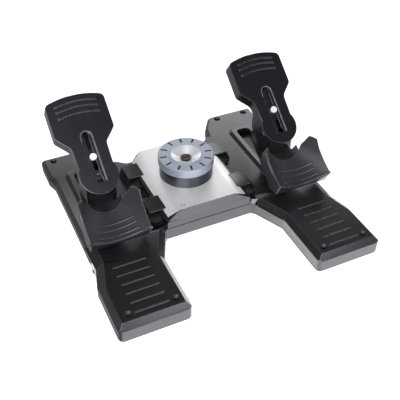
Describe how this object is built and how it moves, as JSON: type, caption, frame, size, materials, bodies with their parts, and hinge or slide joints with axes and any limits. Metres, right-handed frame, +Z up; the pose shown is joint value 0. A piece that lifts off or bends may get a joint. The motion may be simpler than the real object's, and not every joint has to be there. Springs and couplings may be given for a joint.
{
  "type": "flight simulator rudder pedals",
  "caption": "Low base with heel rests, swinging rudder pedals with concave cradles and hinged toe brake plates, and a round tension dial on a silver centre housing.",
  "frame": {"origin": "centre of the footprint on the floor", "axes": "+X to the user's right, +Y away from the user, +Z up"},
  "size_m": [0.444, 0.437, 0.2012],
  "materials": {
    "shell_grey": "fine moulded texture, satin",
    "pan_black": "matte moulded",
    "rubber_black": "matte rubber",
    "screw_black": "blackened steel",
    "silver_paint": "satin silver",
    "silver_metal": "bright turned silver",
    "dark_steel": "dark brushed",
    "bronze_steel": "dull brown steel",
    "zinc_steel": "zinc plated",
    "spring_steel": "drawn wire",
    "brass": "turned",
    "felt_brown": "pressed friction felt",
    "board_green": "solder mask",
    "slide_white": "slippery nylon",
    "screw_white": "bright white-silver",
    "dark_plastic": "fine moulded texture, dark grey"
  },
  "bodies": {
    "base": {"base_pan": "pan_black", "rubber_feet": "rubber_black", "top_shell": "shell_grey", "heel_screws": "screw_black", "rear_screws": "screw_black", "silver_cover": "silver_paint", "cover_pins": "screw_black", "dial_collar": "dark_steel", "tension_nut": "brass", "tension_spring": "spring_steel", "friction_beam": "zinc_steel", "friction_pads": "felt_brown", "pivot_posts": "zinc_steel", "centring_spring": "spring_steel", "rudder_sensor": "board_green", "circuit_board": "board_green", "cable_gland": "rubber_black"},
    "dial": {"tension_dial": "silver_metal", "dial_screw": "bronze_steel", "tension_spindle": "zinc_steel"},
    "front_bar": {"front_bar": "zinc_steel", "rudder_magnet": "zinc_steel"},
    "rear_bar": {"rear_bar": "zinc_steel"},
    "left_pedal": {"left_carriage": "zinc_steel", "left_carriage_pins": "zinc_steel", "left_glide_pads": "slide_white", "left_pedal_arm": "dark_plastic", "left_cradle": "dark_plastic", "left_brake_spring": "spring_steel", "left_brake_sensor": "screw_black"},
    "left_brake": {"left_brake_arm": "dark_plastic", "left_hinge_pin": "zinc_steel", "left_clamp_nut": "zinc_steel", "left_clamp_screw": "screw_white"},
    "left_plate": {"left_toe_plate": "dark_plastic"},
    "right_pedal": {"right_carriage": "zinc_steel", "right_carriage_pins": "zinc_steel", "right_glide_pads": "slide_white", "right_pedal_arm": "dark_plastic", "right_cradle": "dark_plastic", "right_brake_spring": "spring_steel", "right_brake_sensor": "screw_black"},
    "right_brake": {"right_brake_arm": "dark_plastic", "right_hinge_pin": "zinc_steel", "right_clamp_nut": "zinc_steel", "right_clamp_screw": "screw_white"},
    "right_plate": {"right_toe_plate": "dark_plastic"}
  },
  "joints": [
    {"name": "rudder_swing", "type": "hinge", "parent": "base", "child": "front_bar", "pos_m": [0, -0.001, 0.0112], "axis": [0, 0, 1], "range_deg": [-12, 12], "stiffness_Nm_per_rad": 6},
    {"name": "rear_bar_swing", "type": "hinge", "parent": "base", "child": "rear_bar", "pos_m": [0, 0.096, 0.0112], "axis": [0, 0, 1], "range_deg": [-12, 12], "deforming": ["centring_spring"]},
    {"name": "left_pedal_link", "type": "hinge", "parent": "front_bar", "child": "left_pedal", "pos_m": [-0.163, -0.001, 0.0112], "axis": [0, 0, 1], "range_deg": [-12, 12]},
    {"name": "left_toe_brake", "type": "hinge", "parent": "left_pedal", "child": "left_brake", "pos_m": [-0.163, 0.0265, 0.103], "axis": [-1, 0, 0], "range_deg": [0, 20], "stiffness_Nm_per_rad": 3, "springref_deg": -17.19},
    {"name": "left_plate_adjust", "type": "slide", "parent": "left_brake", "child": "left_plate", "axis": [0, 0.7976, 0.6032], "range_m": [-0.03, 0.03]},
    {"name": "right_pedal_link", "type": "hinge", "parent": "front_bar", "child": "right_pedal", "pos_m": [0.163, -0.001, 0.0112], "axis": [0, 0, 1], "range_deg": [-12, 12]},
    {"name": "right_toe_brake", "type": "hinge", "parent": "right_pedal", "child": "right_brake", "pos_m": [0.163, 0.0265, 0.103], "axis": [-1, 0, 0], "range_deg": [0, 20], "stiffness_Nm_per_rad": 3, "springref_deg": -17.19},
    {"name": "right_plate_adjust", "type": "slide", "parent": "right_brake", "child": "right_plate", "axis": [0, 0.7976, 0.6032], "range_m": [-0.03, 0.03]},
    {"name": "tension_turn", "type": "hinge", "parent": "base", "child": "dial", "pos_m": [0, 0.0475, 0.08], "axis": [0, 0, 1], "range_deg": [-150, 150]}
  ],
  "couplings": [
    {"joint": "rear_bar_swing", "follows": "rudder_swing", "ratio": 1},
    {"joint": "left_pedal_link", "follows": "rudder_swing", "ratio": -1},
    {"joint": "right_pedal_link", "follows": "rudder_swing", "ratio": -1}
  ]
}
